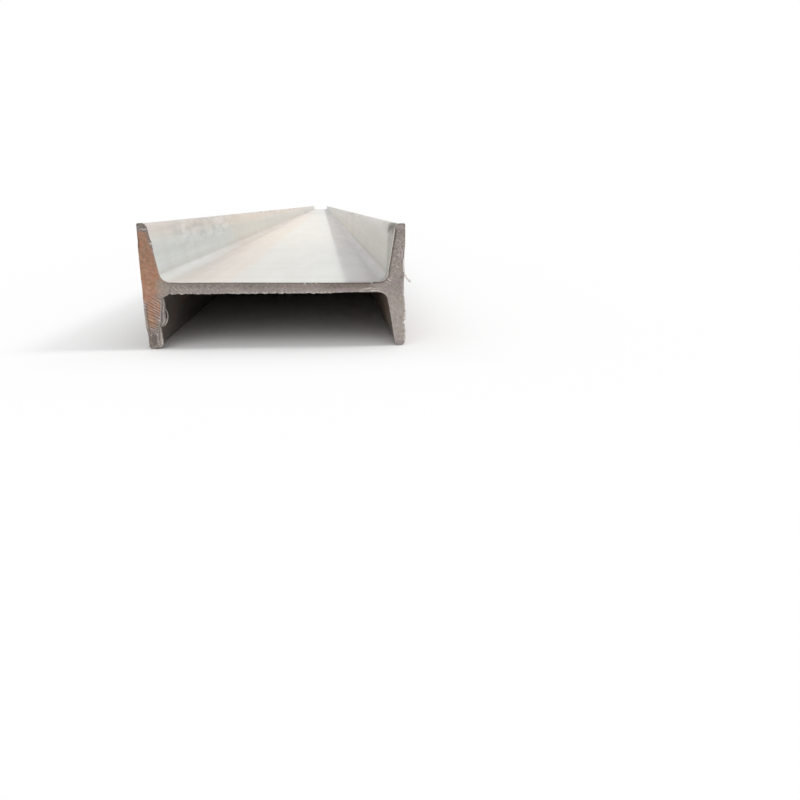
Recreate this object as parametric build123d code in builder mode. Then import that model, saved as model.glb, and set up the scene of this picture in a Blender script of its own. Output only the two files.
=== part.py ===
from build123d import *
import os

# A straight length of hot-rolled steel I-section with tapered flanges. It lies on the tips of its flanges, so
# its web is level. X runs across the section from flange to flange, Y along the beam and Z up. The origin is
# midway along the beam and midway between the flanges, on the plane that the flange tips rest on.

# Section
section_depth = 250.0  # between the outer faces of the two flanges
flange_width = 118.0
web_thickness = 10.0
flange_thickness = 13.0  # midway between the web and the tip
flange_taper = 1 / 6  # slope of a flange's inner faces, a ratio
root_radius = 10.0  # between web and flange
toe_radius = 5.0  # at the inner edge of each flange tip
outer_edge_radius = 1.5  # at the outer edge of each flange tip

# Length of the stock, from one sawn end to the other
beam_length = 12000.0

# Places on one quarter of the section, from its centre
tip = flange_width / 2
web_face = web_thickness / 2
half_rise = flange_taper * (tip - web_face) / 2
toe = section_depth / 2 - flange_thickness + half_rise
root = section_depth / 2 - flange_thickness - half_rise

with BuildPart() as i_beam:
    with BuildSketch(Plane.XZ.shift_origin((0, 0, flange_width / 2))) as section:
        Rectangle(section_depth, flange_width)
        with BuildLine():
            Polyline((-root, web_face), (root, web_face), (toe, tip), (-toe, tip), close=True)
        trough = make_face(mode=Mode.SUBTRACT)
        mirror(trough, about=Plane.XZ, mode=Mode.SUBTRACT)
        # The corners nearest the centre are the roots, the farthest are the outer edges of the tips
        fillet(section.vertices().group_by(SortBy.DISTANCE)[0], radius=root_radius)
        fillet(section.vertices().group_by(SortBy.DISTANCE)[-2], radius=toe_radius)
        fillet(section.vertices().group_by(SortBy.DISTANCE)[-1], radius=outer_edge_radius)
    extrude(amount=beam_length / 2, both=True)

i_beam.part.label = "i_beam"
os.makedirs("parts", exist_ok=True)
export_step(i_beam.part, "parts/i_beam.step")
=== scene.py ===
import math
from functools import cached_property

import bpy
import numpy as np
from mathutils import Matrix, Vector, noise
from mathutils.geometry import delaunay_2d_cdt


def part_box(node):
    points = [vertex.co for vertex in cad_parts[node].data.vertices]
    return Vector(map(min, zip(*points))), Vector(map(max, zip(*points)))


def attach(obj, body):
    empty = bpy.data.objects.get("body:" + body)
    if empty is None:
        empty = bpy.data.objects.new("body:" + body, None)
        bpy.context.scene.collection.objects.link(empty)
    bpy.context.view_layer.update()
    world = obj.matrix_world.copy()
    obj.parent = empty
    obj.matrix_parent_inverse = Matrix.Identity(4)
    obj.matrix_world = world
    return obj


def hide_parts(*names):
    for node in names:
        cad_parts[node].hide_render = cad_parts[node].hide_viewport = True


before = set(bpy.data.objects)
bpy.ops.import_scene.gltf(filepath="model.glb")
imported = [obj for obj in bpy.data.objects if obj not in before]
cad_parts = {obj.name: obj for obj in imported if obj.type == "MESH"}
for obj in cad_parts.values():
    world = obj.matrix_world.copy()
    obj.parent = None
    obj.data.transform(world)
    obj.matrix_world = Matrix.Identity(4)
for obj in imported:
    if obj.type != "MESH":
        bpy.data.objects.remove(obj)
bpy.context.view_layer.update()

# A long hot-rolled steel I-beam with tapered flanges, lying on its flange tips. Metres, with X across the
# section, Y along the beam and Z up. The near sawn end is the one at low Y.

MM = 0.001
low, high = (Vector(corner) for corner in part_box("i_beam"))
DEPTH = high.x - low.x
WIDTH = high.z - low.z
LENGTH = high.y - low.y
NEAR, FAR = low.y, high.y
MID = WIDTH / 2
WEB = 10.0 * MM
FLANGE = 13.0 * MM
TAPER = 1 / 6
ROOT_RADIUS = 10.0 * MM
TOE_RADIUS = 5.0 * MM
EDGE_RADIUS = 1.5 * MM


# Camera

PITCH, YAW, ROLL = math.radians(16.39), math.radians(6.49), math.radians(0.43)
EYE = Vector((46.9 * MM, NEAR - 653.7 * MM, 135.7 * MM))
# The photo's width and the camera's focal length, in the photo's pixels
FRAME_WIDTH = 800
FOCAL_PIXELS = 660.6
SENSOR = 36.0
CLIP_START, CLIP_END = 0.02, 400.0


def place_camera():
    look = Vector((math.sin(YAW) * math.cos(PITCH), math.cos(YAW) * math.cos(PITCH), -math.sin(PITCH)))
    level = Vector((math.cos(YAW), -math.sin(YAW), 0.0))
    upward = level.cross(look)
    right = level * math.cos(ROLL) + upward * math.sin(ROLL)
    top = upward * math.cos(ROLL) - level * math.sin(ROLL)
    data = bpy.data.cameras.new("camera")
    data.sensor_width = SENSOR
    data.lens = SENSOR * FOCAL_PIXELS / FRAME_WIDTH
    data.clip_start, data.clip_end = CLIP_START, CLIP_END
    camera = bpy.data.objects.new("camera", data)
    camera.matrix_world = Matrix.Translation(EYE) @ Matrix((right, top, -look)).transposed().to_4x4()
    bpy.context.scene.collection.objects.link(camera)
    bpy.context.scene.camera = camera


place_camera()


# Section outline

# Distance between the outline's fine points, and how many of them a coarse step has on the flats
FINE = 0.9 * MM
SKIP = 4


def section_corners():
    """The corners of the section about its centre, with radii, anticlockwise seen from the near end."""
    tip, web = WIDTH / 2, WEB / 2
    rise = TAPER * (tip - web) / 2
    toe = DEPTH / 2 - FLANGE + rise
    root = DEPTH / 2 - FLANGE - rise
    quarter = [((DEPTH / 2, tip), EDGE_RADIUS), ((toe, tip), TOE_RADIUS), ((root, web), ROOT_RADIUS)]
    found = []
    for sx, sz in ((1, 1), (-1, 1), (-1, -1), (1, -1)):
        turn = quarter if sx * sz > 0 else quarter[::-1]
        found += [(np.array((sx * x, sz * z)), radius) for (x, z), radius in turn]
    return found


def unit(v):
    return v / np.linalg.norm(v)


def corner_arc(before, corner, after, radius):
    """Points, outward normals and coarse flags along the arc that rounds one corner."""
    to_before, to_after = unit(before - corner), unit(after - corner)
    half = math.acos(np.clip(to_before @ to_after, -1, 1)) / 2
    centre = corner + unit(to_before + to_after) * radius / math.sin(half)
    start = corner + to_before * radius / math.tan(half) - centre
    end = corner + to_after * radius / math.tan(half) - centre
    turn = math.atan2(start[0] * end[1] - start[1] * end[0], start @ end)
    steps = 2 * max(2, round(abs(turn) * radius / FINE / 2))
    points = []
    for k in range(steps + 1):
        c, s = math.cos(turn * k / steps), math.sin(turn * k / steps)
        spoke = np.array((start[0] * c - start[1] * s, start[0] * s + start[1] * c))
        points.append((centre + spoke, spoke / radius * math.copysign(1, turn), k % 2 == 0))
    return points


def outline():
    """The fine ring from the middle of the web's underside: points, normals and coarse points' numbers."""
    corners = section_corners()
    count = len(corners)
    arcs = [
        corner_arc(corners[i - 1][0], corners[i][0], corners[(i + 1) % count][0], corners[i][1])
        for i in range(count)
    ]
    found = []
    for i, arc in enumerate(arcs):
        found += arc
        start, normal = arc[-1][:2]
        end = arcs[(i + 1) % count][0][0]
        steps = max(1, round(np.linalg.norm(end - start) / FINE))
        found += [
            (start + (end - start) * k / steps, normal, k % SKIP == 0 and steps - k > SKIP / 2)
            for k in range(1, steps)
        ]
    seam = min(
        (i for i, point in enumerate(found) if point[2]),
        key=lambda i: np.linalg.norm(found[i][0] - (0, -WEB / 2)),
    )
    found = found[seam:] + found[:seam]
    places, normals, flags = zip(*found)
    return np.array(places), np.array(normals), [i for i, flag in enumerate(flags) if flag]


ring, ring_normals, coarse = outline()
arc_length = np.concatenate(([0.0], np.cumsum(np.linalg.norm(np.roll(ring, -1, axis=0) - ring, axis=1))))
girth = arc_length[-1]
COUNT = len(ring)


# Relief


def rough(x, y, z, octaves=3):
    """Smooth noise of about -1 to 1 at a place given in its own units."""
    return noise.fractal(Vector((x, y, z)), 1.0, 2.0, octaves, noise_basis="PERLIN_ORIGINAL")


def smooth(value, start, end):
    """0 before start, 1 after end and eased between."""
    t = min(1.0, max(0.0, (value - start) / (end - start)))
    return t * t * (3 - 2 * t)


def within(value, start, full, full_end, end):
    """0 before start, eased up to 1 at full, and down again from full_end to 0 at end."""
    return smooth(value, start, full) * (1 - smooth(value, full_end, end))


def hump(value, centre, reach):
    """1 at the centre, 0 at reach to either side."""
    return 1 - smooth(abs(value - centre), 0.0, reach)


# The rolled surface's faint waves: their lengths across and along the beam in metres, and their height in mm
WIDE_ACROSS, WIDE_ALONG, WIDE_HEIGHT = 0.030, 0.9, 0.10
NARROW_ACROSS, NARROW_ALONG, NARROW_HEIGHT = 0.008, 0.35, 0.05


def mill_relief(x, z, y):
    """How far the rolled surface stands off the true section, in metres."""
    wide = rough(x / WIDE_ACROSS, y / WIDE_ALONG, z / WIDE_ACROSS, 2)
    narrow = rough(x / NARROW_ACROSS + 9, y / NARROW_ALONG, z / NARROW_ACROSS, 2)
    return (WIDE_HEIGHT * wide + NARROW_HEIGHT * narrow) * MM


# Pitch of the scallops that the saw left along the underside of the web, in mm
SCALLOP = 7.8


def fringe(x, z, nx, nz, phase):
    """How far the saw's burr stands out from the rolled surface at the cut. All in mm."""
    jag = abs(rough(x * 0.55, phase, z * 0.55, 4))
    under = smooth(-nz, 0.1, 0.9)
    beat = x / SCALLOP + 0.9 * rough(x * 0.03, phase + 7, 0.0, 2)
    scallop = abs(math.sin(math.pi * beat)) ** 0.45 * (0.55 + 0.6 * abs(rough(x * 0.12, phase + 3, 0.0, 2)))
    lower = smooth(-z, -4, 12)
    under *= 1 - smooth(x, 50, 66)
    return 0.05 + 0.25 * jag + under * (1.05 * scallop + 0.60 * jag) + lower * 0.35 * jag


# Marks on the sawn ends, in mm from the section's centre

# Pitches of the saw's marks: in most places, on the left flange, by the right one's upper tip, on the far end
SAW_PITCH, LEFT_PITCH, TIP_PITCH, FAR_PITCH = 2.2, 2.7, 1.9, 3.0
# On the near end's web and all over the far end they are arcs about this place
SAW_CENTRE = (-200.0, -146.0)
# On the near end's flanges they run straight and slant down towards +X, or up where the slant is below 0:
# the right flange's slants by its fillet and by its upper tip
RIGHT_SLANT, TIP_SLANT = math.radians(33), math.radians(-40)


def inner_face(z):
    """Distance of a flange's inner face from the section's middle, z above or below its centre."""
    return (DEPTH / 2 - FLANGE) / MM + TAPER * (abs(z) - (WIDTH + WEB) / 4 / MM)


def arc_place(x, z):
    """Where a place lies across and along the saw's arcs, in mm."""
    x, z = x - SAW_CENTRE[0], z - SAW_CENTRE[1]
    radius = math.hypot(x, z)
    return radius, radius * math.atan2(x, z)


def slant_place(x, z, slant):
    """The same for straight marks that run slant below level towards +X."""
    return x * math.sin(slant) + z * math.cos(slant), x * math.cos(slant) - z * math.sin(slant)


def left_place(x, z):
    """The same for the left flange's marks, which slope less towards the lower tip."""
    slant = math.radians(31 + 8 * smooth(z, 0, 15) - 6 * smooth(-z, 20, 48))
    return slant_place(x + 118, z, slant)


def saw_marks(place, phase, crest=1, pitch=SAW_PITCH):
    """The saw's marks, about -0.5 to 1: light ridges where crest is 1, dark grooves where it is -1."""
    across, along = place
    wobble = 0.45 * rough(across * 0.09, phase, along * 0.03, 2)
    wobble += 0.08 * rough(across * 0.5, phase + 3, along * 0.2, 2)
    wave = (0.5 + 0.5 * math.sin(2 * math.pi * (across / pitch + wobble))) ** 1.6
    patches = 0.85 + 1.1 * rough(across * 0.33, phase + 9, along * 0.13, 3)
    return crest * (1.5 * wave - 0.5) * max(0.1, patches)


# Over how many mm a line's ends ease off
LINE_EASE = 0.4


def line(x, z, x1, z1, x2, z2, half_width):
    """1 on the line from one place to the other, 0 beyond its half width, and eased off over its ends."""
    long = math.hypot(x2 - x1, z2 - z1)
    along = ((x - x1) * (x2 - x1) + (z - z1) * (z2 - z1)) / long
    off = math.hypot(x - x1 - along * (x2 - x1) / long, z - z1 - along * (z2 - z1) / long)
    between = within(along, -LINE_EASE, LINE_EASE, long - LINE_EASE, long + LINE_EASE)
    return between * (1 - smooth(off, half_width * 0.4, half_width))


# Single strokes on the near end, in mm from the section's centre: the x and z of start and end, half width,
# and how light or, below 0, how dark each is
LEFT_STROKES = [
    # the nib on the inner edge below the dark tip, and that edge's dark rim above it
    (-114.7, 41.3, -113.3, 40.6, 0.60, 0.9), (-113.4, 42.6, -111.9, 40.2, 0.45, -1.2),
    (-114.5, 38.4, -114.2, 37.0, 0.60, -1.2), (-115.4, 51.0, -114.2, 44.6, 0.80, -0.8),
    # the dark outer edge
    (-124.3, 50.5, -124.3, 45.5, 0.80, -0.6), (-124.3, 45.5, -124.2, 36.5, 1.00, -1.3),
    # spots in the dark tip
    (-121.0, 54.3, -119.6, 53.6, 0.60, 0.5), (-121.2, 55.2, -119.8, 54.8, 0.60, -0.9),
    (-118.5, 52.6, -116.6, 52.0, 0.80, -0.9),
    # spots round the dark oval in the lower tip, and that oval's dark side
    (-122.6, -44.6, -122.0, -46.4, 0.55, 0.6), (-118.9, -43.2, -116.4, -43.6, 0.60, 0.5),
    (-116.4, -43.6, -115.0, -46.6, 0.55, 0.6), (-114.7, -51.4, -114.2, -53.2, 0.60, 0.8),
    (-121.3, -57.4, -120.1, -58.0, 0.60, 0.5), (-118.2, -57.2, -116.6, -56.2, 0.60, 0.5),
    (-115.2, -55.2, -114.4, -53.9, 0.60, 0.7), (-123.4, -48.0, -122.6, -53.0, 0.55, -0.9),
    (-117.6, -54.0, -116.6, -55.4, 0.60, -1.0), (-113.0, -49.5, -112.6, -52.5, 0.55, -0.8),
    # the brightest bead beside the flap
    (-112.9, -30.4, -112.4, -31.6, 0.85, 0.9),
    # by the root of the web
    (-94.0, 2.6, -93.4, 1.5, 0.70, -1.2), (-92.6, 2.9, -92.0, 1.9, 0.50, 0.5),
    (-100.6, -1.2, -100.6, -4.6, 0.90, -0.9),
]
RIGHT_STROKES = [
    # four saw marks by the upper fillet, dark between
    (108.9, 9.3, 112.5, 7.6, 0.50, 0.62), (109.2, 9.0, 112.3, 6.4, 0.45, -0.9),
    (107.7, 8.0, 111.3, 5.5, 0.60, 0.82), (107.4, 6.9, 112.0, 3.8, 0.45, -0.9),
    (105.1, 5.8, 110.7, 2.4, 0.55, 0.52), (105.0, 4.4, 109.6, 1.4, 0.45, -0.6),
    (104.6, 3.2, 108.6, 0.4, 0.50, 0.35),
    # the nick in the web's upper edge
    (87.0, 4.2, 91.1, 4.0, 0.55, -1.2), (91.4, 4.3, 93.3, 4.0, 0.60, 0.75),
    (94.4, 4.6, 97.0, 4.6, 0.50, -0.9),
    # the scuffed place above the lower fillet
    (81.5, -3.2, 86.5, -2.0, 0.75, 0.45), (86.0, -1.9, 91.5, -1.4, 0.80, 0.62),
    (90.6, -0.6, 93.6, -1.4, 0.60, 0.58), (93.0, -2.2, 96.8, -1.6, 0.55, 0.62),
    (96.4, -0.6, 98.6, -2.0, 0.50, 0.42), (86.5, -0.2, 90.5, 0.6, 0.45, -0.7),
    (94.6, 0.0, 98.0, -0.4, 0.45, -0.7), (88.0, -3.0, 92.0, -2.9, 0.40, -0.5),
    (93.0, -3.1, 97.5, -2.7, 0.35, -0.9), (91.0, -3.7, 98.5, -3.5, 0.70, 0.62),
    (98.0, -3.5, 102.3, -5.4, 0.70, 0.62), (99.0, -1.6, 103.4, -4.0, 0.45, 0.50),
    (100.4, -3.2, 102.4, -4.4, 0.50, -1.2),
    # the folded lip below the tip: light, with a dark line behind it
    (120.6, 38.2, 122.5, 34.8, 0.60, 0.6), (122.5, 34.8, 122.8, 28.2, 0.65, 0.7),
    (121.8, 37.8, 123.7, 33.0, 0.45, -1.2), (123.7, 33.0, 123.9, 28.0, 0.45, -1.2),
    # the outer edge's bright rim below the lip
    (124.5, 37.0, 124.6, 27.0, 0.55, 0.6), (124.4, 26.5, 124.3, 14.2, 0.80, 1.0),
    # two light patches
    (116.4, 19.2, 120.4, 18.6, 0.95, 0.40), (116.2, 15.9, 120.0, 15.4, 0.85, 0.32),
]
# Crumbs along the web's upper edge
WEB_STROKES = [
    (26.5, 4.2, 29.0, 3.4, 0.60, 0.7), (29.4, 4.6, 31.6, 4.4, 0.50, -0.8),
    (32.2, 4.0, 35.4, 3.6, 0.55, 0.6), (37.0, 4.3, 39.6, 3.9, 0.55, 0.6),
    (36.0, 2.2, 38.5, 1.8, 0.45, -0.6), (-52.0, 4.2, -49.0, 3.8, 0.50, 0.5),
    (-9.0, 4.3, -7.0, 4.0, 0.45, 0.5),
]


def strokes_near(x):
    """The single strokes that can reach a place."""
    if x < -90:
        return LEFT_STROKES
    return RIGHT_STROKES if x > 80 else WEB_STROKES


def strokes(x, z):
    """How light and how dark the near end's single strokes make a place."""
    light, dark = 0.0, 0.0
    for *shape, strength in strokes_near(x):
        share = abs(strength) * line(x, z, *shape)
        if strength > 0:
            light = max(light, share)
        else:
            dark += share
    return light, dark


def ridge_tone(x, z, left, right, ragged, grain, left_marks):
    """The tone of the near end's saw marks: strongest low on the left flange and high on the right one."""
    left_strength = 0.12 + 0.30 * hump(z, 13, 10) + 1.30 * within(-z, 2, 15, 44, 50)
    left_strength *= 1 - 0.55 * smooth(-x, 120.3, 122.0)
    by_root = within(x, -103, -97, -84, -32) * smooth(-z, -4, 1)
    web_strength = (1 - left) * (1 - right) * (0.14 + by_root * (0.75 + 0.7 * ragged))
    tone = left * left_strength * left_marks + web_strength * saw_marks(arc_place(x, z), 5.0)
    if right:
        by_fillet = hump(z, 4, 22) * smooth(x, 104, 112)
        tone += right * (0.26 + 0.35 * by_fillet) * saw_marks(slant_place(x, z, RIGHT_SLANT), 8.0)
        by_tip = saw_marks(slant_place(x, z, TIP_SLANT), 11.0, pitch=TIP_PITCH)
        tone += right * (1.25 * hump(z, 38, 15) * by_tip + 0.9 * grain * smooth(z, 4, 16))
    return tone


def right_rim_glints(x, z, gap, uneven):
    """How bright the near end's burred rims on the right are, bare metal with a painted highlight, and how
    dark the painted shade line inside the upper one.
    """
    depth = abs(x) - inner_face(z)
    upper = smooth(x, 96, 101) * within(z, 4.5, 6.5, 52, 56) * (1 - smooth(depth, 4.0, 6.0))
    lower = smooth(x, 96, 102) * (1 - smooth(depth, 2.0, 4.0)) * smooth(-z, 3, 5)
    lower *= (0.6 - 0.4 * smooth(-z, 14, 22)) * (1 - 0.45 * smooth(x, 102.5, 106))
    dark = smooth(x, 60, 80) * within(z, 1.5, 3.5, 52, 56) * (1 - smooth(depth, 4.0, 6.0))
    dark *= 1.6 * hump(gap, 1.25, 1.05) * (1.1 + uneven + 0.5 * smooth(z, 30, 45))
    return 0.95 * upper * (1 - smooth(gap, 0.3, 0.7)) + lower * (1 - smooth(gap, 0.4, 1.1)), dark


def near_marks(x, z, gap):
    """Relief in mm, then rust, bare metal, ridge tone, grime and pallor, at a place gap from the outline."""
    patch = 0.5 + 0.5 * rough(x * 0.06, 4.0, z * 0.06)
    grain = rough(x * 0.9, 2.0, z * 0.9)
    ragged = rough(x * 0.35, 6.0, z * 0.35)
    spotted = rough(x * 0.55, 12.0, z * 0.55)
    mottled = rough(x * 0.28, 41.0, z * 0.28)
    specks = smooth(rough(x * 1.1, 9.0, z * 1.1), 0.10, 0.45)
    waver = 1.1 * rough(z * 0.16, 63.0, 0.0, 2)
    left, right = 1 - smooth(x, -108, -96), smooth(x, 84, 104)
    web = (1 - left) * (1 - right)
    left_marks = saw_marks(left_place(x, z), 1.0, -1, LEFT_PITCH)
    tone = ridge_tone(x, z, left, right, ragged, grain, left_marks)

    # The left flange's dark upper tip, the dark wedge below it along the inner edge, the dull lower tip, the
    # dark oval in that, and the ragged outer edge above it
    cap = smooth(z + 2.5 * ragged, 50.6, 52.6)
    upper = smooth(z, 2, 18)
    wedge_reach = 0.4 + 1.5 * smooth(z, 26, 48)
    wedge = upper * (1 - smooth(abs(x) - inner_face(z), wedge_reach, wedge_reach + 1.6))
    low_tip = smooth(-z + 5 * ragged, 33, 43)
    oval_reach = math.hypot((x + 119.1) / 3.2, (z + 50.0) / 6.6) + 0.25 * ragged
    oval = 1 - smooth(oval_reach, 0.70, 1.05)
    rag = (1 - smooth(x, -122.8, -121.2)) * within(-z, 10, 17, 36, 44)
    relief = 0.24 * tone + 0.10 * grain - 0.30 * oval

    # Orange rust: all over the left flange between its tips, thinner towards the web and in the wedge, in a
    # fresher line in the lower half, and a little on the web's right half
    rust = left * (1 - cap) * (1 - low_tip)
    rust *= upper * (1 - 0.55 * wedge) + (1 - upper) * (0.28 + 0.72 * smooth(-x, 106, 121))
    rust *= (1 - 0.65 * rag) * (0.86 + 0.24 * patch)
    rust *= 1 - 0.28 * smooth(-z, 2, 12) * smooth(x, -119.5, -114)
    rust += 0.5 * left * hump(x + 0.18 * z, -115.2, 4.5) * within(-z, 8, 16, 26, 36)
    rust += 0.16 * within(x, 66, 74, 88, 94)

    grime = cap * (left * (0.48 + 0.30 * smooth(z, 54.0, 56.5) + 1.1 * spotted) + 0.15 * right) + 0.9 * oval
    grime += left * (0.16 * wedge * (1 - cap) + 0.30 * low_tip)
    grime += 0.3 * rag * smooth(-grain, 0.0, 0.4)

    # Bare metal: on the left flange's edges, in its tips, round the oval and beside the flap, then along the
    # web's lower edge and the right flange's outer one
    bare = 0.6 * specks * hump(x, -113.6, 2.6) * hump(z, 40, 5)
    bare += 0.42 * left * smooth(x, -117.5, -115.5) * hump(z, -47, 11) * smooth(grain, -0.1, 0.4)
    bare += 0.62 * rag * hump(x, -124.9 + 0.6 * waver, 1.7) * smooth(grain, -0.35, 0.3)
    bare += 0.5 * cap * left * smooth(spotted, -0.15, -0.45)
    about_oval = hump(oval_reach, 1.35, 0.32) * smooth(-z, 36, 42)
    bare += left * about_oval * (0.102 + 0.136 * smooth(grain, -0.3, 0.4))
    beads = 0.15 + 0.45 * smooth(left_marks, -0.2, 0.6)
    bare += beads * left * hump(x, -112.2, 1.1) * within(-z, 10, 16, 30, 36)
    burrs = (0.35 + 0.40 * smooth(x, -75, -40)) * smooth(rough(x * 0.5, 8.0, 0.0), -0.2, 0.3)
    bare += burrs * web * hump(-z, 5, 1.7)
    bare += (0.30 + 0.35 * smooth(grain, -0.2, 0.3)) * smooth(x, 123.2, 124.6) * (1 - smooth(z, 8, 14))
    bare += 0.8 * smooth(x, 122.6, 124.4) * specks * (hump(z, -30, 8) + hump(z, -48, 7))
    # The right rims' painted highlights add to the bare metal, and the painted shade line inside the upper
    # rim darkens the tone
    rim_glint, dark = right_rim_glints(x, z, gap, 0.3 * patch + 0.6 * ragged)
    light_stroke, dark_stroke = strokes(x, z)
    bare = max(bare + rim_glint, light_stroke)

    # Dark lines: inside the ragged edge, the painted shade line inside the right rim, and along the web's
    # upper edge
    tone -= hump(x, -122.7 + waver, 1.3) * within(-z, 12, 18, 40, 50) * (0.77 + 0.55 * patch)
    tone -= dark + web * smooth(z, 3.2, 4.2) * (0.85 + 0.5 * ragged) + dark_stroke

    pale = 0.45 * ragged + 0.80 * right * mottled * smooth(z, -4, 14)
    pale += right * (0.50 * smooth(-z, -10, 26) - 0.30 * smooth(-z, 50, 57)) - 0.35 * left * oval
    pale += left * (0.12 * hump(z, -9, 19) - 0.34 * smooth(z, 6, 30) - 0.62 * smooth(-z, 35, 46))
    pale += web * (0.50 * smooth(-z, -1, 3) - 0.40 - 0.34 * smooth(x, 40, 58) * (1 - smooth(-z, 1, 3)))
    return relief, min(1.0, rust), min(1.0, bare), tone, min(1.0, grime), pale


def far_marks(x, z, gap):
    """The same for the far end, where the gap makes no difference."""
    patch = 0.5 + 0.5 * rough(x * 0.05, 14.0, z * 0.05)
    ragged = rough(x * 0.35, 16.0, z * 0.35)
    tone = (0.5 + 0.8 * patch) * saw_marks(arc_place(x, z), 21.0, pitch=FAR_PITCH)
    relief = 0.20 * tone + 0.08 * rough(x * 0.9, 12.0, z * 0.9)
    grime = 0.6 * smooth(abs(z) + 3 * ragged, 47, 54)
    return relief, smooth(patch, 0.45, 0.75), 0.0, tone, grime, 0.3 * ragged


# From what size of its normal's x a place counts as facing across the beam
FACING = 0.3


def skin_dark_marks(x, z, nx, run):
    """Darker marks on the rolled surface, run mm from the near cut: a faint patch high on the left flange's
    inner face, and on the right flange's a darker band near the cut and a grimy smudge at the tip."""
    if x < 0:
        return 0.20 * hump(run, 310, 170) * smooth(z, 34, 46) if nx > FACING else 0.0
    if z < 2 or nx > (0.5 if z > 50 else -FACING):
        return 0.0
    reach = 12 + 1.35 * (z - 5)
    band = 0.40 * (1 - smooth(run, reach - 9, reach + 5))
    ragged = rough(run * 0.06, 60.0, z * 0.25)
    smudge = 0.95 * smooth(z + 5 * ragged, 48.5, 52) * smooth(run, 8, 16)
    return max(band, smudge * (1 - smooth(run + 30 * ragged, 60, 92)))


def skin_wear(x, z, nx, run):
    """Where the rolled surface is blotched: high on the left flange's inner face, some way in."""
    if x > 0 or nx < FACING:
        return 0.0
    return smooth(z, 26, 40) * within(run, 60, 130, 420, 700)


# How far the outer edges of the near end stand beyond the true section, at heights from its centre, in mm
LEFT_EDGE = [(-59, 0.0), (-46, 0.0), (-40, 0.5), (-20, 0.5), (-2, 0.35), (8, 0.6), (38, 0.55), (44, 0.0)]
RIGHT_EDGE = [(-59, -0.6), (-52, -0.5), (-47, 0.0), (-41, 0.6), (-38, 0.6), (-35.8, -1.3), (-33, 0.6)]
RIGHT_EDGE += [(-18, 0.5), (-12, -0.3), (-3, -1.3), (4, -1.2), (10, -0.4), (14, -0.3), (20, -0.65)]
RIGHT_EDGE += [(29, -0.7), (37, -0.2), (42, 0.0)]


def edge_shift(table, z):
    """The shift that a table gives at a height."""
    heights, shifts = zip(*table)
    return float(np.interp(z, heights, shifts))


# How far in the near end is knocked out of shape, in mm
KNOCKED_REACH = 600


def knocked(x, z, run):
    """How far the near end is knocked out of shape, run mm from the cut: the shifts in x and z, in mm."""
    if run > KNOCKED_REACH:
        return 0.0, 0.0
    long, short = 1 - smooth(run, 60, KNOCKED_REACH), 1 - smooth(run, 1.0, 5.0)
    outer_left, outer_right = smooth(-x, 117, 125), smooth(x, 117, 125)
    across = 1.1 * outer_left * smooth(-z, 33, 45) * long + 0.9 * outer_right * smooth(-z, 39, 46) * long
    across += (outer_right * edge_shift(RIGHT_EDGE, z) - outer_left * edge_shift(LEFT_EDGE, z)) * short
    if x > 100:
        across -= 0.7 * (1 - smooth(x - inner_face(z), 0.0, 5.0)) * smooth(z, 10, 16) * short
    corner = 1.4 * max(smooth(-x, 118.5, 125), smooth(x, 118.5, 125)) * (1 - smooth(z, -59, -52))
    chipped = 3.0 * max(0.0, rough(x * 0.6, 77.0, 0.0)) * (1 - smooth(z, -59, -55)) * short
    taller = (1.4 * smooth(x, 107, 113) + 0.4 * smooth(-x, 107, 113)) * smooth(z, 44, 58)
    rubbed = (0.3 + 0.6 * smooth(x, -60, 60)) * smooth(z, 0.5, 4.6) * (1 - smooth(abs(x), 88, 98))
    return across, (corner + taller) * (1 - smooth(run, 2, 40)) + chipped - rubbed * short


# Mesh

SKIN, SAWN = 0, 1
MARKS = ("rust", "bare", "tone", "grime", "pale", "wear")
BARE = MARKS.index("bare")
points, point_marks = [], []
faces, face_kinds, face_uvs, face_arcs = [], [], [], []


def add_point(x, y, z, rust=0.0, bare=0.0, tone=0.0, grime=0.0, pale=0.0, wear=0.0):
    points.append((x, y, z))
    point_marks.append((rust, bare, tone, grime, pale, wear))
    return len(points) - 1


def add_face(corners, kind, uvs, arcs=None, flip=False):
    """A face of the skin or a sawn end, with its places on the bake map and round the outline."""
    arcs = arcs or [0.0] * len(corners)
    turn = -1 if flip else 1
    faces.append(corners[::turn])
    face_kinds.append(kind)
    face_uvs.append(uvs[::turn])
    face_arcs.append(arcs[::turn])


# The bake map: the rolled surface is unrolled into a band as wide as the map, stretched towards the near end.
# The two ends lie above the band, the far one at a smaller scale.
BAND = 0.60
EDGE = 0.004
NEAR_REACH = 0.6
NEAR_END_SCALE = 0.37 / WIDTH
NEAR_END_LEFT = 2 * EDGE
FAR_END_SCALE = NEAR_END_SCALE / 4
FAR_END_LEFT = 0.80
END_GAP = 2 * MM


def band_uv(y, arc):
    along = math.log1p((y - NEAR) / NEAR_REACH) / math.log1p(LENGTH / NEAR_REACH)
    return EDGE + (1 - 2 * EDGE) * along, EDGE + (BAND - 3 * EDGE) * arc / girth


def end_uv(end, x, z):
    left, scale = (NEAR_END_LEFT, NEAR_END_SCALE) if end == NEAR else (FAR_END_LEFT, FAR_END_SCALE)
    return left + (x + DEPTH / 2 + END_GAP) * scale, BAND + 3 * EDGE + (z + MID + END_GAP) * scale


# How far from a cut its burr reaches, where the fine rings lie, and where the coarse ones start
FLARE_DEPTH = 2.4 * MM
FINE_STEPS = [0.0, 0.5 * MM, 1.1 * MM, 1.9 * MM, 2.6 * MM]
COARSE_START = 5.0 * MM
# How the coarse rings spread out, up to CLOSE_REACH from each end, and how many lie between
FIRST_STEP = 4.0 * MM
STEP_GROWTH = 0.14
WIDEST_STEP = 0.15
CLOSE_REACH = 2.0
MIDDLE_RINGS = 56


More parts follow.
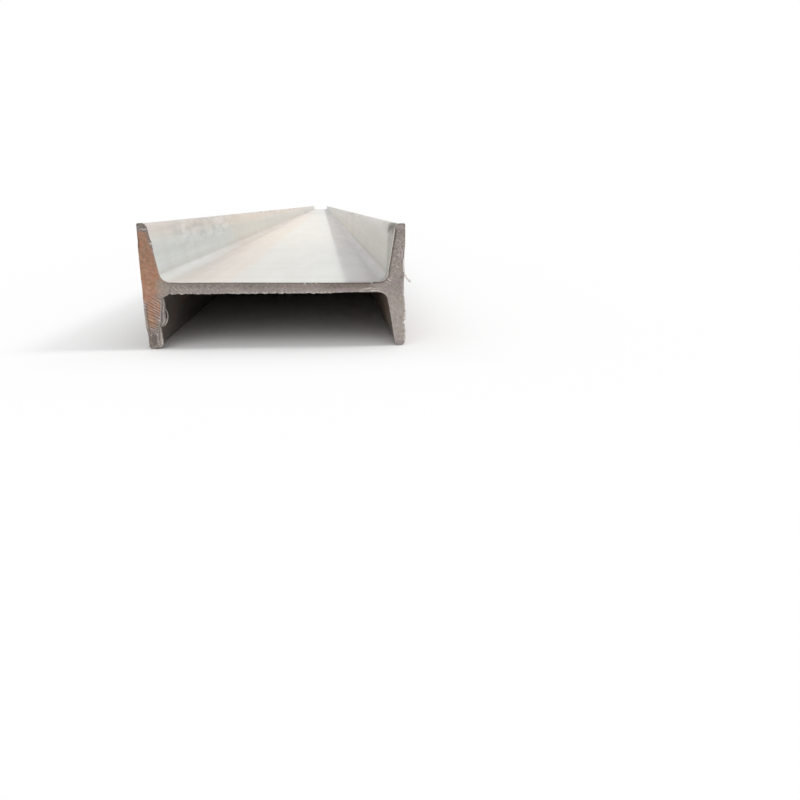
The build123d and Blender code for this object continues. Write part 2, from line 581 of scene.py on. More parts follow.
def edge_burr(x, z, nx, nz, end):
    """The burr at the cut, with the larger rags that the near end shows. All in mm."""
    burr = fringe(x, z, nx, nz, 3.0 if end == NEAR else 40.0)
    if end == NEAR:
        jag = max(0.0, rough(x * 0.6, 31.0, z * 0.6, 4))
        burr += (nx > 0.5) * hump(x, -113, 6) * hump(z, 40, 7) * (0.4 + 1.6 * jag)
        burr += (nx > 0.5) * smooth(x, 120, 124) * (hump(z, -28.5, 8) + hump(z, -50, 8)) * (0.1 + 2.6 * jag)
        burr += (nx < -0.5) * smooth(-x, 120, 124) * hump(z, -25, 26) * (0.1 + 1.3 * jag)
        burr += (nx > 0.5) * hump(x, -113, 5) * hump(z, -48, 9) * (0.5 + 2.0 * jag)
    return burr


def ring_at(y, chosen):
    """Adds the chosen points of the outline at one place along the beam and gives their numbers."""
    end = NEAR if y - NEAR < FAR - y else FAR
    flare = max(0.0, 1 - abs(y - end) / FLARE_DEPTH) ** 2
    made = []
    for i in chosen:
        x, z = ring[i]
        nx, nz = ring_normals[i]
        lift = mill_relief(x, z, y)
        bare = 0.0
        if flare:
            burr = edge_burr(x / MM, z / MM, nx, nz, end)
            lift += flare * burr * MM
            bare = (0.10 + 0.45 * smooth(burr, 0.5, 1.5)) * flare
        run = (y - NEAR) / MM
        across, above = knocked(x / MM, z / MM, run)
        at = x + nx * lift + across * MM, y, max(0.0, z + nz * lift + MID + above * MM)
        grime, wear = skin_dark_marks(x / MM, z / MM, nx, run), skin_wear(x / MM, z / MM, nx, run)
        made.append(add_point(*at, bare=bare, grime=grime, wear=wear))
    return made


def join(first, second, chosen, first_y, second_y):
    """Faces between two rings of the same points, the second one further along the beam."""
    count = len(chosen)
    for k in range(count):
        n = (k + 1) % count
        here, there = arc_length[chosen[k]], arc_length[chosen[n]] if n else girth
        turns = [(first_y, here), (second_y, here), (second_y, there), (first_y, there)]
        uvs = [band_uv(y, arc) for y, arc in turns]
        add_face([first[k], second[k], second[n], first[n]], SKIN, uvs, [arc for y, arc in turns])


def join_fine(fine, sparse, fine_y, sparse_y):
    """Faces between a fine ring and a coarse one."""
    for k, start in enumerate(coarse):
        n = (k + 1) % len(coarse)
        run = range((coarse[n] if n else COUNT), start - 1, -1)
        arcs = [arc_length[start], arc_length[run[0]]] + [arc_length[i] for i in run]
        uvs = [band_uv(sparse_y, arc) for arc in arcs[:2]] + [band_uv(fine_y, arc) for arc in arcs[2:]]
        corners = [sparse[k], sparse[n]] + [fine[i % COUNT] for i in run]
        add_face(corners, SKIN, uvs, arcs, flip=sparse_y < fine_y)


def stations():
    """Places of the coarse rings: close together near the ends and evenly spaced between."""
    steps = [COARSE_START]
    while steps[-1] < CLOSE_REACH:
        steps.append(steps[-1] + min(WIDEST_STEP, FIRST_STEP + STEP_GROWTH * steps[-1]))
    middle = np.linspace(NEAR + steps[-1], FAR - steps[-1], MIDDLE_RINGS)
    return [NEAR + step for step in steps[:-1]] + list(middle) + [FAR - step for step in steps[-2::-1]]


every = range(COUNT)
near_rings = [(NEAR + step, ring_at(NEAR + step, every)) for step in FINE_STEPS]
far_rings = [(FAR - step, ring_at(FAR - step, every)) for step in reversed(FINE_STEPS)]
body_rings = [(y, ring_at(y, coarse)) for y in stations()]
for rings, chosen in ((near_rings, every), (body_rings, coarse), (far_rings, every)):
    for (first_y, first), (second_y, second) in zip(rings, rings[1:]):
        join(first, second, chosen, first_y, second_y)
join_fine(near_rings[-1][1], body_rings[0][1], near_rings[-1][0], body_rings[0][0])
join_fine(far_rings[0][1], body_rings[-1][1], far_rings[0][0], body_rings[-1][0])


# Sawn ends


def inside_outline(x, z):
    """Whether places lie inside the section, by crossings of its outline."""
    x1, z1 = ring[:, 0], ring[:, 1]
    x2, z2 = np.roll(x1, -1), np.roll(z1, -1)
    inside = np.zeros(len(x), bool)
    for a, b, c, d in zip(x1, z1, x2, z2):
        if b != d:
            inside ^= ((b > z) != (d > z)) & (x < (c - a) * (z - b) / (d - b) + a)
    return inside


# Steps and seeds of the grids on the two ends, how far a point of one strays, as a share of the step, and how
# near the outline it may lie
NEAR_GRID, NEAR_SEED = 0.52 * MM, 11
FAR_GRID, FAR_SEED = 0.9 * MM, 12
STRAY_SHARE = 0.22
GRID_CLEAR = 0.55 * FINE
# For the triangulation: what it keeps, and how close two places have to be to count as one
KEEP_INSIDE, SAME_PLACE = 1, 1e-7
# How much of the sawn end's rust shows on its rim
RIM_RUST = 0.6


def end_grid(step, seed):
    """Loose places inside the section, step apart and clear of its outline, each with its distance to it."""
    random = np.random.default_rng(seed)
    x, z = np.meshgrid(np.arange(-DEPTH / 2, DEPTH / 2, step), np.arange(-MID, MID, step))
    x = x.ravel() + random.uniform(-STRAY_SHARE, STRAY_SHARE, x.size) * step
    z = z.ravel() + random.uniform(-STRAY_SHARE, STRAY_SHARE, z.size) * step
    keep = inside_outline(x, z)
    x, z = x[keep], z[keep]
    gap = np.full(len(x), np.inf)
    for a, b in ring:
        gap = np.minimum(gap, np.hypot(x - a, z - b))
    keep = gap > GRID_CLEAR
    return list(zip(x[keep], z[keep], gap[keep]))


def close_end(end, rim, step, mark, seed):
    """Fills one end with a fine net of triangles and presses the saw's marks into it."""
    out = -1 if end == NEAR else 1
    grid = [(x, z, 0.0) for x, z in ring] + end_grid(step, seed)
    flat = [Vector((x, z)) for x, z, gap in grid]
    edges = [(i, (i + 1) % COUNT) for i in range(COUNT)]
    net = delaunay_2d_cdt(flat, edges, [list(range(COUNT))], KEEP_INSIDE, SAME_PLACE)
    triangles, origins = net[2:4]
    numbers = list(rim)
    for i, (x, z, gap) in enumerate(grid):
        relief, rust, bare, tone, grime, pale = mark(x / MM, z / MM, gap / MM)
        if i < COUNT:
            burr_bare = point_marks[rim[i]][BARE]
            point_marks[rim[i]] = (rust * RIM_RUST, max(bare, burr_bare), tone, grime, pale, 0.0)
        else:
            across, above = knocked(x / MM, z / MM, 0.0) if end == NEAR else (0.0, 0.0)
            at = x + across * MM, end + out * relief * MM, z + MID + above * MM
            numbers.append(add_point(*at, rust, bare, tone, grime, pale))
    for triangle in triangles:
        first = [origins[v][0] for v in triangle]
        uvs = [end_uv(end, *flat[i]) for i in first]
        add_face([numbers[i] for i in first], SAWN, uvs, flip=end == FAR)


close_end(NEAR, near_rings[0][1], NEAR_GRID, near_marks, NEAR_SEED)
close_end(FAR, far_rings[-1][1], FAR_GRID, far_marks, FAR_SEED)


# Rags of burr that stand off the near end, as closed solids rooted in the beam


def add_rag_face(corners):
    add_face(corners, SAWN, [end_uv(NEAR, points[i][0], points[i][2] - MID) for i in corners])


TUBE_SIDES = 8
TUBE_FLATTENING = 0.7


def add_tube(path, bare):
    """A closed flattened wire along a path of (x, out of the end, height, radius), in mm."""
    places = [Vector((x * MM, NEAR - out * MM, z * MM)) for x, out, z, radius in path]
    loops = []
    for i, place in enumerate(places):
        way = (places[min(i + 1, len(path) - 1)] - places[max(i - 1, 0)]).normalized()
        across = way.cross(Vector((0, 1, 0))).normalized()
        above = way.cross(across)
        loop = []
        for k in range(TUBE_SIDES):
            turn = 2 * math.pi * k / TUBE_SIDES
            spoke = across * math.cos(turn) + TUBE_FLATTENING * above * math.sin(turn)
            loop.append(add_point(*(place + path[i][3] * MM * spoke), bare=bare))
        loops.append(loop)
    for one, two in zip(loops, loops[1:]):
        for k in range(TUBE_SIDES):
            n = (k + 1) % TUBE_SIDES
            add_rag_face([one[k], one[n], two[n], two[k]])
    add_rag_face(loops[0][::-1])
    add_rag_face(loops[-1])


LEAF_THICKNESS = 0.75


def add_leaf(rows):
    """A closed thin leaf. Each row runs from root to rim: x, out of the end, height in mm, bare and tone."""
    front, back = [], []
    for row in rows:
        for side, inset in ((front, 0.0), (back, LEAF_THICKNESS)):
            loop = []
            for x, out, z, bare, tone in row:
                loop.append(add_point(x * MM, NEAR - (out - inset) * MM, z * MM, bare=bare, tone=tone))
            side.append(loop)
    last, wide = len(rows) - 1, len(rows[0]) - 1
    quads = []
    for r in range(last):
        for c in range(wide):
            quads.append([front[r][c], front[r][c + 1], front[r + 1][c + 1], front[r + 1][c]])
            quads.append([back[r][c], back[r + 1][c], back[r + 1][c + 1], back[r][c + 1]])
    for r in range(last):
        quads.append([front[r + 1][0], back[r + 1][0], back[r][0], front[r][0]])
        quads.append([front[r][wide], back[r][wide], back[r + 1][wide], front[r + 1][wide]])
    for c in range(wide):
        quads.append([front[0][c], back[0][c], back[0][c + 1], front[0][c + 1]])
        quads.append([front[last][c + 1], back[last][c + 1], back[last][c], front[last][c]])
    for corners in quads:
        add_rag_face(corners)


# The flap that hangs from the left flange's inner edge, below the web, and the rag at its lower tip: heights
# in mm above the floor, and where the rim is at each
FLAP = [(49.6, -107.2), (47.0, -105.9), (44.3, -105.6), (41.0, -105.8), (37.5, -106.0), (34.0, -106.2)]
FLAP += [(31.0, -106.1), (28.6, -105.3), (26.8, -105.3), (24.9, -106.6), (23.0, -108.4), (21.0, -110.6)]
RAG = [(22.0, -112.0), (20.7, -111.3), (17.6, -111.0), (14.5, -110.8), (10.6, -110.6), (6.7, -110.2)]
RAG += [(3.6, -110.8), (1.8, -112.2), (0.8, -114.6)]
LEAF_COLUMNS = 16
LEAF_STEP = 0.9


def leaf_rows(rim_places, phase, ridge, swell, inset, shine):
    """Rows of a leaf: light burnished metal with a painted highlight along a ridge at a share of its width
    and along the root, painted shade in the crease beside them, and darker towards the rim.
    """
    heights, rims = zip(*rim_places)
    rows = []
    for height in np.arange(heights[0], heights[-1], -LEAF_STEP):
        rim = float(np.interp(-height, [-h for h in heights], rims))
        z = height - MID / MM
        root = -inner_face(z) - inset - 3.0 * (1 - smooth(height, 0.0, 5.0))
        row = []
        for k in range(LEAF_COLUMNS + 1):
            share = k / LEAF_COLUMNS
            x = root + (rim - root) * share + 0.5 * rough(height * 0.5, phase + 2, 0.0) * share
            crumb = rough(height * 0.6, phase + 1, share * 7.0, 3)
            bead = saw_marks(left_place(x, z), phase)
            light, dark = strokes(x, z)
            on_ridge = hump(share, ridge, 0.22)
            out = 0.35 + swell * on_ridge * (1 + 0.25 * bead) - 0.35 * hump(share, 0.30, 0.18)
            out += 0.35 * crumb * share
            # bare holds burnished metal with a painted highlight at the root and on the ridge, tone the
            # painted shade in the crease
            bare = 0.8 * hump(share, 0.07, 0.11) * (0.45 + bead) + shine * (1 + 0.5 * bead) * on_ridge
            bare = max(light, min(1.0, max(0.0, bare * (1 + 1.2 * crumb))))
            tone = 0.5 * bead - 1.5 * hump(share, 0.30, 0.14) - 0.7 * smooth(share, ridge + 0.14, 1.0) - dark
            row.append((x, out, height + 0.3 * crumb * share, bare, tone))
        rows.append(row)
    return rows


# The thin loop that curls off the flap, the bright curl off the right flange's outer edge, and the folded lip
# above it: x, out of the end, height and radius
LOOP = [
    (-106.4, 0.6, 40.2, 0.20), (-105.6, 0.9, 38.9, 0.26), (-104.8, 1.2, 37.6, 0.30),
    (-104.1, 1.4, 35.7, 0.34), (-103.8, 1.5, 33.6, 0.38), (-103.9, 1.5, 31.4, 0.38),
    (-104.3, 1.4, 29.3, 0.42), (-105.0, 1.2, 27.2, 0.48), (-106.1, 1.0, 25.4, 0.55),
    (-107.5, 0.8, 23.7, 0.50), (-109.6, 0.5, 21.8, 0.30),
]
CURL = [
    (124.2, 0.0, 72.0, 0.50), (124.9, 0.4, 70.8, 0.75), (126.2, 1.0, 68.9, 0.95),
    (127.7, 1.6, 66.9, 1.05), (129.2, 2.0, 65.1, 1.05), (130.5, 2.1, 63.8, 0.95),
]
LIP = [
    (120.3, -0.3, 97.6, 0.40), (121.4, 0.0, 95.4, 0.50), (122.4, 0.15, 93.4, 0.60),
    (122.7, 0.2, 90.0, 0.60), (122.8, -0.3, 86.6, 0.40),
]

add_leaf(leaf_rows(FLAP, phase=50.0, ridge=0.66, swell=1.1, inset=0.5, shine=0.42))
add_leaf(leaf_rows(RAG, phase=70.0, ridge=0.80, swell=0.7, inset=0.9, shine=0.60))
add_tube(LOOP, bare=0.40)
add_tube(CURL, bare=0.85)
add_tube(LIP, bare=0.45)

mesh = bpy.data.meshes.new("i_beam_rolled")
mesh.from_pydata(points, [], faces)
mesh.polygons.foreach_set("material_index", face_kinds)
mesh.polygons.foreach_set("use_smooth", [True] * len(faces))
for n, name in enumerate(MARKS):
    layer = mesh.attributes.new(name, "FLOAT", "POINT")
    layer.data.foreach_set("value", [marks[n] for marks in point_marks])
layer = mesh.attributes.new("around", "FLOAT", "CORNER")
layer.data.foreach_set("value", [arc / girth for arcs in face_arcs for arc in arcs])
layer = mesh.uv_layers.new(name="OFBake")
layer.data.foreach_set("uv", [value for uvs in face_uvs for uv in uvs for value in uv])
# Edges between the skin and the sawn ends are sharp
kinds_by_edge = {}
for polygon in mesh.polygons:
    for key in polygon.edge_keys:
        kinds_by_edge.setdefault(key, set()).add(polygon.material_index)
mesh.edges.foreach_set("use_edge_sharp", [len(kinds_by_edge[edge.key]) > 1 for edge in mesh.edges])
mesh.validate()
beam = bpy.data.objects.new("i_beam_rolled", mesh)
bpy.context.scene.collection.objects.link(beam)
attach(beam, "root")
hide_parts("i_beam")


# Materials


class Shading:
    """The nodes of a material or the world. A node's values are numbers, colours or other nodes' sockets."""

    def __init__(self, owner):
        self.owner = owner
        owner.use_nodes = True
        self.tree = owner.node_tree
        self.tree.nodes.clear()

    @cached_property
    def place(self):
        """The place on the object, in metres."""
        return self.node("ShaderNodeTexCoord").outputs["Object"]

    def node(self, kind, values=(), **settings):
        made = self.tree.nodes.new(kind)
        for name, value in settings.items():
            setattr(made, name, value)
        for socket, value in dict(values).items():
            if isinstance(value, bpy.types.NodeSocket):
                self.tree.links.new(value, made.inputs[socket])
            else:
                made.inputs[socket].default_value = value
        return made

    def calc(self, operation, *values, clamp=False):
        made = self.node("ShaderNodeMath", enumerate(values), operation=operation, use_clamp=clamp)
        return made.outputs[0]

    def times(self, *values):
        return self.calc("MULTIPLY", *values)

    def plus(self, *values, clamp=False):
        return self.calc("ADD", *values, clamp=clamp)

    def fit(self, value, start, end, low=0.0, high=1.0):
        """value eased from low, at start and before, to high, at end and after."""
        values = {"Value": value, "From Min": start, "From Max": end, "To Min": low, "To Max": high}
        return self.node("ShaderNodeMapRange", values, interpolation_type="SMOOTHSTEP").outputs[0]

    def mix(self, share, one, two, kind="MIX"):
        made = self.node("ShaderNodeMix", {0: share, 6: one, 7: two}, data_type="RGBA", blend_type=kind)
        return made.outputs[2]

    def tint(self, share, colour, factors):
        """The colour multiplied by factors, by a share."""
        return self.mix(share, colour, factors, "MULTIPLY")

    def noise(self, scale, detail, roughness, stretch=(1, 1, 1), shift=(0, 0, 0)):
        vector = self.node("ShaderNodeMapping", {0: self.place, 1: shift, 3: stretch}).outputs[0]
        values = {"Vector": vector, "Scale": scale, "Detail": detail, "Roughness": roughness}
        return self.node("ShaderNodeTexNoise", values).outputs["Fac"]

    def mark(self, name):
        return self.node("ShaderNodeAttribute", attribute_name=name).outputs["Fac"]

    def ramp(self, value, stops):
        made = self.node("ShaderNodeValToRGB", {0: value})
        elements = made.color_ramp.elements
        while len(elements) < len(stops):
            elements.new(0.5)
        for element, (position, colour) in zip(elements, stops):
            element.position = position
            element.color = colour
        return made.outputs[0]

    def bump(self, height, strength, distance, normal=None):
        values = {"Strength": strength, "Distance": distance, "Height": height}
        if normal:
            values["Normal"] = normal
        return self.node("ShaderNodeBump", values).outputs[0]

    def finish(self, **values):
        shader = self.node("ShaderNodeBsdfPrincipled", {k.replace("_", " "): v for k, v in values.items()})
        self.node("ShaderNodeOutputMaterial", {"Surface": shader.outputs[0]})
        return self.owner


def material(name):
    return Shading(bpy.data.materials.new(name))


def linear(value):
    """A level as a screen shows it, 0 to 255, in linear light."""
    return value / 255 / 12.92 if value < 10.3 else ((value / 255 + 0.055) / 1.055) ** 2.4


def paint(red, green, blue):
    """A colour as a screen shows it, in linear light."""
    return linear(red), linear(green), linear(blue), 1.0


def arc_at(x, z):
    """Share of the way round the outline of the point nearest to (x, z), in mm from the section's centre."""
    return arc_length[np.argmin(np.hypot(ring[:, 0] - x * MM, ring[:, 1] - z * MM))] / girth


def shares_round(*stops):
    """Stops of a ramp round the outline, from x, z and a plain share."""
    return [(arc_at(x, z), (share, share, share, 1.0)) for x, z, share in stops]


# The rolled surface's colours round the outline, from the seam in the middle of the web's underside by way of
# the right flange: x, z and the colour. In the upper hollow they are far lighter than outside it: painted
# sunlight and grazing sheen on grey mill scale. There the grey from x 64 to 96 and the dark right fillet are
# partly a painted shadow of the right flange, the pink from x -48 to -99 is partly a painted reflection of
# the left flange, and the left fillet is darkened as painted shade against its highlight from the lamp.
SEAM = paint(138, 133, 129)
BAND_AND_LIGHT_COLOURS = [
    (109, -30, (134, 125, 118)), (122, -59, (142, 134, 128)),
    (125, 0, (136, 129, 125)), (122, 59, (196, 188, 180)),
    (114, 45, (208, 205, 201)), (109, 18, (208, 207, 204)),
    (104.5, 9, (150, 148, 145)), (96, 5, (162, 159, 156)),
    (69, 5, (172, 168, 165)), (64, 5, (214, 214, 209)),
    (-39, 5, (218, 216, 209)), (-48, 5, (219, 210, 198)),
    (-92, 5, (221, 212, 203)), (-99.5, 5.6, (216, 208, 201)),
    (-103, 8, (208, 206, 201)), (-109, 20, (223, 228, 226)),
    (-113, 38, (213, 218, 216)), (-115, 50, (222, 215, 206)),
    (-122, 59, (204, 194, 184)), (-125, 0, (131, 124, 120)),
    (-122, -59, (138, 131, 126)), (-109, -30, (132, 124, 118)),
]
BAND_AND_LIGHT_STOPS = [(0.0, SEAM)] + [(arc_at(x, z), paint(*colour)) for x, z, colour in BAND_AND_LIGHT_COLOURS] + [(1.0, SEAM)]
# How much of the rust shows: less on the web's upper side
RUST_SHARE = shares_round(
    (112, 30, 1), (96, 5, 0.5), (60, 5, 0.25), (-60, 5, 0.35), (-112, 30, 0.8), (-118, 59, 1)
)
# The web's left fillet, which painted shade makes darker further along the beam, damping the lamp's highlight
# there
FILLET_SHARE = shares_round((-95, 5, 0), (-101, 6.5, 1), (-105, 11, 1), (-108, 16, 0))
# Where the surface faces the upper hollow: whole on the web, less on the flanges' inner faces. The painted
# sheen goes there, and the rust blooms stay out of it
UPPER_SHARE = shares_round(
    (120, 59, 0), (114, 45, 0.4), (96, 5, 1), (-102, 7, 1), (-107, 14, 0.3), (-115, 50, 0.3), (-120, 59, 0)
)
# The left flange's inner face
LEFT_SHARE = shares_round((-102, 7, 0), (-107, 14, 1), (-116, 56, 1), (-122, 59, 0))

# What the rolled surface's colour is multiplied by: in streaks and threads, where a painted grazing sheen
# makes it lighter in the upper hollow and where it is warmer on the left flange's inner face
STREAK, THREAD = paint(206, 203, 200), paint(228, 227, 224)
SHEEN_TINT = (1.165, 1.14, 1.10, 1.0)
WARMER = (1.015, 0.945, 0.88, 1.0)
# Where these and the fillet's painted shade come in, from none to whole, in metres from the near end, and
# where the painted sheen goes out again
SHEEN_FROM, SHEEN_TO = (0.15, 1.1), (7.0, 3.0)
WARMER_FROM = (0.42, 0.66)
FILLET_FROM = (0.15, 0.8)
# What the colour is mixed with, the left fillet's colour being painted shade
CHATTER, CROSS_LINE = paint(170, 166, 158), paint(166, 165, 161)
THIN_RUST, RUST_BLOOM = paint(150, 118, 98), paint(136, 97, 74)
DULL_BLOTCH, LIGHT_BLOTCH = paint(182, 183, 182), paint(236, 230, 220)
FILLET_SHADE, SKIN_GRIME, SKIN_BARE = paint(178, 168, 156), paint(112, 112, 106), paint(214, 206, 200)


def eased_in(s, y, reach):
    """0 to 1 over a reach, given in metres from the near end."""
    return s.fit(y, NEAR + reach[0], NEAR + reach[1])


def rolled_skin():
    """Mill scale with lengthwise bands and streaks, and rust, with painted light, shade, sheen and reflection
    in the upper hollow.
    """
    s = material("rolled_skin")
    around, wear, bare = s.mark("around"), s.mark("wear"), s.mark("bare")
    y = s.node("ShaderNodeSeparateXYZ", {0: s.place}).outputs[1]
    streaks = s.noise(95, 5, 0.6, stretch=(1, 0.02, 1))
    threads = s.noise(620, 3, 0.6, stretch=(1, 0.008, 1), shift=(3, 0, 0))
    cloud = s.noise(3.2, 4, 0.55, stretch=(1, 0.16, 1), shift=(0, 5, 0))
    mottle = s.noise(38, 6, 0.60, stretch=(1, 0.16, 1), shift=(0, 0, 7))
    chatter = s.noise(15, 3, 0.55, stretch=(0.08, 1, 0.08), shift=(0, 2, 0))
    cross_lines = s.noise(46, 4, 0.65, stretch=(0.05, 1, 0.05), shift=(6, 0, 0))
    patches = s.noise(11, 7, 0.70, stretch=(1, 0.40, 1), shift=(1, 0, 0))
    blotch = s.noise(125, 3, 0.6, stretch=(1, 0.16, 1), shift=(0, 0, 3))
    speck = s.noise(420, 4, 0.6)
    share = s.ramp(around, RUST_SHARE)
    upper = s.ramp(around, UPPER_SHARE)

    # bands with painted light and shade, streaks and threads along the beam, chatter and lines across it
    colour = s.ramp(around, BAND_AND_LIGHT_STOPS)
    colour = s.tint(s.times(s.fit(streaks, 0.35, 0.65, 0.10, 0.30), s.fit(share, 0.0, 0.8)), colour, STREAK)
    colour = s.tint(s.times(s.fit(threads, 0.42, 0.60, 0.0, 0.18), share), colour, THREAD)
    colour = s.mix(s.fit(chatter, 0.50, 0.62, 0.0, 0.09), colour, CHATTER)
    colour = s.mix(s.fit(cross_lines, 0.57, 0.62, 0.0, 0.09), colour, CROSS_LINE)

    # thin rust, and blooms of it outside the upper hollow
    rusty = s.plus(s.fit(cloud, 0.52, 0.68), s.fit(mottle, 0.54, 0.72, 0.0, 0.5))
    rusty = s.times(rusty, s.fit(streaks, 0.3, 0.6, 0.75, 1.0))
    rusty = s.times(rusty, s.fit(speck, 0.38, 0.62, 0.65, 1.25))
    rusty = s.times(s.fit(rusty, 0.45, 1.4, 0.0, 0.44), share)
    colour = s.mix(rusty, colour, THIN_RUST)
    bloom = s.times(s.fit(patches, 0.50, 0.66), s.fit(speck, 0.36, 0.60, 0.35, 1.0))
    bloom = s.times(bloom, s.fit(upper, 0.3, 0.0, 0.0, 0.62))
    colour = s.mix(bloom, colour, RUST_BLOOM)
    rusty = s.plus(rusty, bloom, clamp=True)

    # the blotched place, and what changes along the beam: painted shade on the left fillet, painted sheen in
    # the upper hollow and a warmer left flange
    worn = s.times(wear, s.fit(blotch, 0.48, 0.62, 0.0, 0.36))
    colour = s.mix(worn, colour, DULL_BLOTCH)
    colour = s.mix(s.times(wear, s.fit(blotch, 0.50, 0.38, 0.0, 0.36)), colour, LIGHT_BLOTCH)
    fillet = s.times(s.ramp(around, FILLET_SHARE), eased_in(s, y, FILLET_FROM))
    colour = s.mix(s.times(fillet, 0.55), colour, FILLET_SHADE)
    sheen = s.times(eased_in(s, y, SHEEN_FROM), eased_in(s, y, SHEEN_TO))
    colour = s.tint(s.times(sheen, upper), colour, SHEEN_TINT)
    colour = s.tint(s.times(s.ramp(around, LEFT_SHARE), eased_in(s, y, WARMER_FROM)), colour, WARMER)

    # grime and darker marks, and bare metal on the burrs
    grime = s.times(s.mark("grime"), s.fit(mottle, 0.35, 0.6, 0.85, 1.0))
    colour = s.mix(s.times(grime, 0.9), colour, SKIN_GRIME)
    colour = s.mix(s.times(bare, 0.8), colour, SKIN_BARE)

    dull = s.plus(s.times(grime, 0.5), s.times(worn, 0.3))
    rough_skin = s.plus(s.fit(mottle, 0.3, 0.7, 0.29, 0.37), s.plus(dull, s.times(rusty, 0.5)))
    metal = s.times(s.fit(rusty, 0.0, 0.3, 0.45, 0.1), s.calc("SUBTRACT", 1.0, grime, clamp=True))
    normal = s.bump(s.plus(mottle, s.times(chatter, 0.5)), 0.18, 0.0008)
    normal = s.bump(s.plus(s.times(speck, 0.5), s.times(threads, 0.5)), 0.22, 0.0002, normal)
    return s.finish(Base_Color=colour, Roughness=rough_skin, Metallic=metal, Normal=normal)


# The sawn ends' tarnish and orange flash rust, from dark to light
TARNISH = [(0.30, paint(134, 125, 122)), (0.52, paint(146, 137, 132)), (0.70, paint(155, 146, 138))]
FLASH_RUST = [(0.34, paint(140, 100, 75)), (0.50, paint(156, 114, 88)), (0.64, paint(168, 128, 102))]
# What their colour is multiplied by in patches
OLIVE = (0.98, 1.00, 0.96, 1.0)
PINK = (1.025, 0.98, 1.03, 1.0)
# What it is mixed with: pale and dark places, ridges and grooves without and with rust, grit, grime, metal
PALE, DARK = paint(192, 184, 176), paint(104, 92, 82)
RIDGE, RUSTY_RIDGE = paint(200, 188, 180), paint(204, 176, 160)
GROOVE, RUSTY_GROOVE = paint(82, 76, 70), paint(100, 68, 52)
LIGHT_GRIT, DARK_GRIT = paint(200, 192, 184), paint(92, 80, 72)
END_GRIME, END_BARE, END_BRIGHT = paint(106, 100, 92), paint(216, 208, 202), paint(240, 236, 232)


def sawn_end():
    """Saw-cut steel: fine ridges, grey-brown tarnish, orange flash rust, bare burrs."""
    s = material("sawn_end")
    cloud = s.noise(42, 5, 0.6)
    hue = s.noise(70, 2, 0.5, shift=(0, 4, 0))
    fleck = s.noise(260, 5, 0.62)
    grit = s.noise(800, 3, 0.65, shift=(2, 0, 0))
    rust, bare, tone, grime, pale = (s.mark(name) for name in MARKS[:5])

    drift = s.times(s.calc("SUBTRACT", cloud, 0.5), 0.5)
    colour = s.mix(s.fit(s.plus(rust, drift), 0.1, 0.9), s.ramp(cloud, TARNISH), s.ramp(fleck, FLASH_RUST))
    colour = s.tint(1.0, colour, s.mix(s.fit(hue, 0.40, 0.60), OLIVE, PINK))
    colour = s.mix(s.fit(pale, 0.0, 0.8, 0.0, 0.45), colour, PALE)
    colour = s.mix(s.fit(pale, 0.0, -0.8, 0.0, 0.65), colour, DARK)
    colour = s.mix(s.fit(tone, 0.0, 1.0, 0.0, 0.48), colour, s.mix(rust, RIDGE, RUSTY_RIDGE))
    colour = s.mix(s.fit(tone, 0.0, -1.5, 0.0, 0.82), colour, s.mix(rust, GROOVE, RUSTY_GROOVE))
    plain = s.calc("SUBTRACT", 1.0, s.times(rust, 0.55))
    colour = s.mix(s.times(s.fit(grit, 0.52, 0.68, 0.0, 0.30), plain), colour, LIGHT_GRIT)
    colour = s.mix(s.times(s.fit(grit, 0.48, 0.32, 0.0, 0.36), plain), colour, DARK_GRIT)
    loose = s.times(s.calc("SUBTRACT", fleck, 0.5), 0.7)
    colour = s.mix(s.fit(s.plus(grime, loose), 0.15, 0.95, 0.0, 0.72), colour, END_GRIME)
    colour = s.mix(s.fit(bare, 0.1, 0.9, 0.0, 0.85), colour, END_BARE)
    colour = s.mix(s.fit(bare, 0.90, 1.0, 0.0, 0.5), colour, END_BRIGHT)

    rough_end = s.calc("SUBTRACT", s.fit(fleck, 0.3, 0.7, 0.46, 0.66), s.times(bare, 0.16))
    metal = s.calc("SUBTRACT", 0.50, s.times(rust, 0.40), clamp=True)
    normal = s.bump(grit, 0.35, 0.0002, s.bump(fleck, 0.35, 0.0005))
    return s.finish(Base_Color=colour, Roughness=rough_end, Metallic=metal, Normal=normal)


mesh.materials.append(rolled_skin())
mesh.materials.append(sawn_end())


# Floor, world and light

FLOOR_REACH = 120.0
FLOOR_COLOUR = (0.90, 0.90, 0.90, 1.0)
# Share of plain white in what the camera sees of the floor, so that the shadow on it stays light, and how far
# from the beam that share becomes whole
FLOOR_WHITE = 0.6
WHITE_REACH = 0.14
WHITE = (1.0, 1.0, 1.0, 1.0)
SKY_LEVEL = 0.74


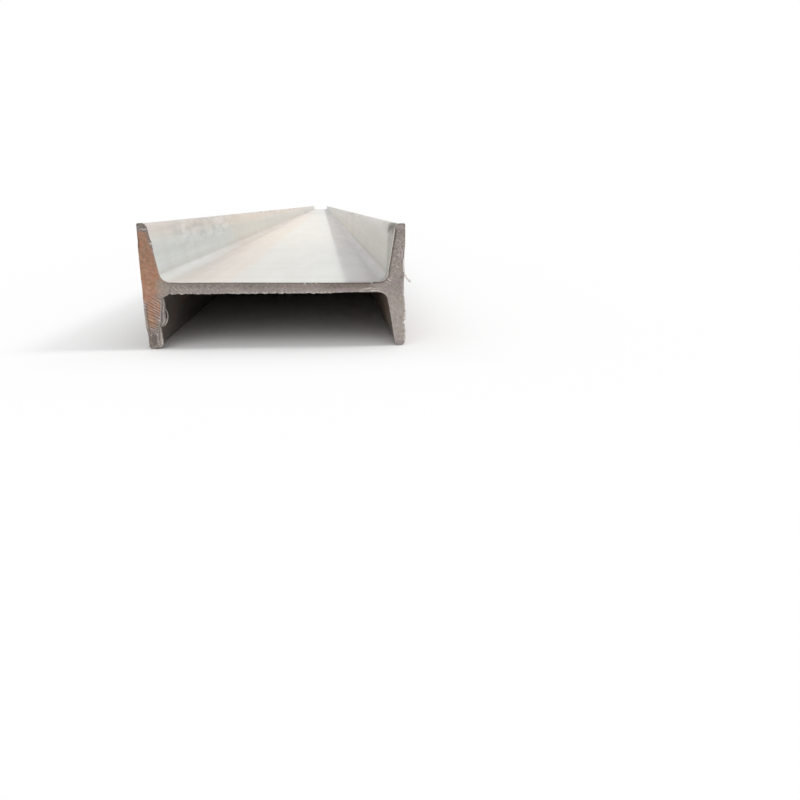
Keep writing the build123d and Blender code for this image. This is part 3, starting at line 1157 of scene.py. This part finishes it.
def add_floor():
    data = bpy.data.meshes.new("floor")
    corners = [(x * FLOOR_REACH, y * FLOOR_REACH, 0) for x, y in ((-1, -1), (1, -1), (1, 1), (-1, 1))]
    data.from_pydata(corners, [], [(0, 1, 2, 3)])
    floor = bpy.data.objects.new("floor", data)
    bpy.context.scene.collection.objects.link(floor)
    s = material("floor")
    matt = s.node("ShaderNodeBsdfDiffuse", {"Color": FLOOR_COLOUR})
    white = s.node("ShaderNodeEmission", {"Color": WHITE, "Strength": 1.0})
    x, y, _ = s.node("ShaderNodeSeparateXYZ", {0: s.place}).outputs
    beside = s.calc("SUBTRACT", s.calc("ABSOLUTE", x), DEPTH / 2)
    beyond = s.calc("SUBTRACT", s.calc("ABSOLUTE", y), LENGTH / 2)
    away = s.fit(s.calc("MAXIMUM", beside, beyond), 0.0, WHITE_REACH, 0.0, FLOOR_WHITE)
    seen = s.times(s.node("ShaderNodeLightPath").outputs["Is Camera Ray"], away)
    blend = s.node("ShaderNodeMixShader", {0: seen, 1: matt.outputs[0], 2: white.outputs[0]})
    s.node("ShaderNodeOutputMaterial", {"Surface": blend.outputs[0]})
    data.materials.append(s.owner)


def add_sky():
    """Even light from all sides, which the camera, a reflection or glass sees as plain white."""
    s = Shading(bpy.data.worlds.new("world"))
    path = s.node("ShaderNodeLightPath").outputs
    mirrored = s.calc("MAXIMUM", path["Is Glossy Ray"], path["Is Transmission Ray"])
    seen = s.calc("MAXIMUM", path["Is Camera Ray"], mirrored)
    light = s.node("ShaderNodeBackground", {"Color": WHITE, "Strength": SKY_LEVEL})
    white = s.node("ShaderNodeBackground", {"Color": WHITE, "Strength": 1.0})
    blend = s.node("ShaderNodeMixShader", {0: seen, 1: light.outputs[0], 2: white.outputs[0]})
    s.node("ShaderNodeOutputWorld", {"Surface": blend.outputs[0]})
    bpy.context.scene.world = s.owner


def add_lamp(name, strength, angle, way, highlights=True):
    """A distant lamp, soft by an angle in degrees, whose light travels along way."""
    data = bpy.data.lights.new(name, "SUN")
    data.energy = strength
    data.angle = math.radians(angle)
    lamp = bpy.data.objects.new(name, data)
    lamp.rotation_euler = Vector(way).to_track_quat("-Z", "Y").to_euler()
    lamp.visible_glossy = highlights
    bpy.context.scene.collection.objects.link(lamp)


add_floor()
add_sky()
add_lamp("key", strength=1.1, angle=12, way=(-0.705, -0.04, -0.709))
add_lamp("fill", strength=0.76, angle=60, way=(0.15, 0.85, -0.50), highlights=False)

bpy.context.scene.view_settings.view_transform = "Standard"

bpy.context.view_layer.update()
